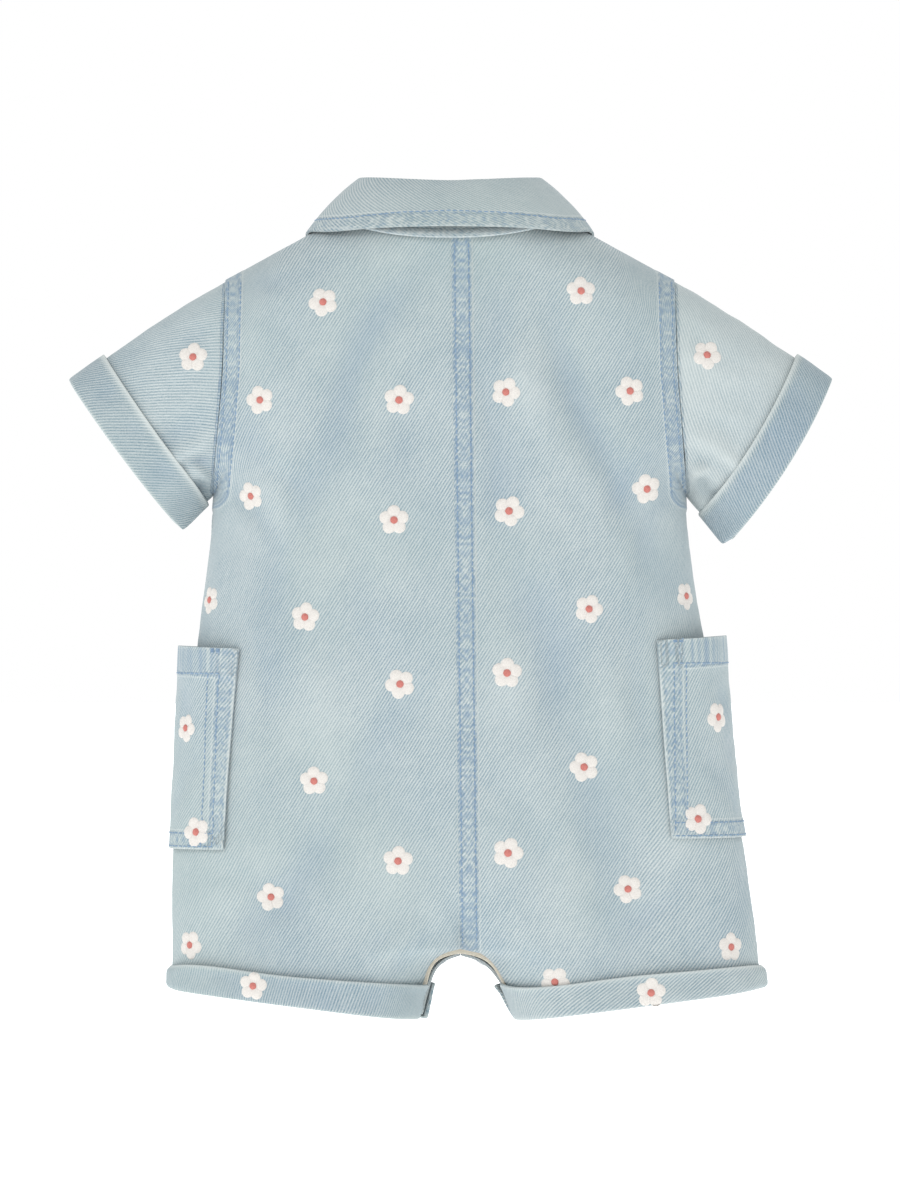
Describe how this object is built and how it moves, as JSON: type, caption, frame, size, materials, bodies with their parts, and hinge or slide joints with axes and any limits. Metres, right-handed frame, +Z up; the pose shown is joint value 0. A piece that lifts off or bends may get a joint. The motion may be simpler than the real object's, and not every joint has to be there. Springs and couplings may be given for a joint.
{
  "type": "baby romper",
  "caption": "Short-legged denim romper with shirt collar, set-in short sleeves, turned-up cuffs, side pockets and a snap inseam, hollow as if worn.",
  "frame": {"origin": "middle of the neck, level with the back neck seam, where the wearer's shoulders carry the romper", "axes": "+Z up along the body, +Y towards the front, so the pictured back faces -Y; -X is the wearer's left"},
  "size_m": [0.3824, 0.0916, 0.4211],
  "materials": {
    "denim": "washed pale blue denim twill, matt",
    "denim_cuff": "washed pale blue denim twill, matt, folded double",
    "denim_seam": "washed denim, a little bluer and puckered along its seams",
    "tape": "plain cream cotton",
    "thread": "pale blue sewing thread",
    "petal": "off-white satin stitch",
    "flower_centre": "coral pink satin stitch",
    "stud": "brushed press stud cap"
  },
  "bodies": {
    "root": {"back_left": "denim", "back_right": "denim", "front_left": "denim", "front_right": "denim", "sleeve_left": "denim", "sleeve_right": "denim", "sleeve_cuff_left": "denim_cuff", "sleeve_cuff_right": "denim_cuff", "leg_cuff_left": "denim_cuff", "leg_cuff_right": "denim_cuff", "pocket_left": "denim", "pocket_right": "denim", "collar_stand": "denim_seam", "collar_leaf": "denim_cuff", "front_placket": "denim_seam", "snap_band": "tape", "placket_stud_1": "stud", "placket_stud_2": "stud", "placket_stud_3": "stud", "placket_stud_4": "stud", "placket_stud_5": "stud", "inseam_stud_left_1": "stud", "inseam_stud_left_2": "stud", "inseam_stud_right_1": "stud", "inseam_stud_right_2": "stud"}
  },
  "joints": []
}
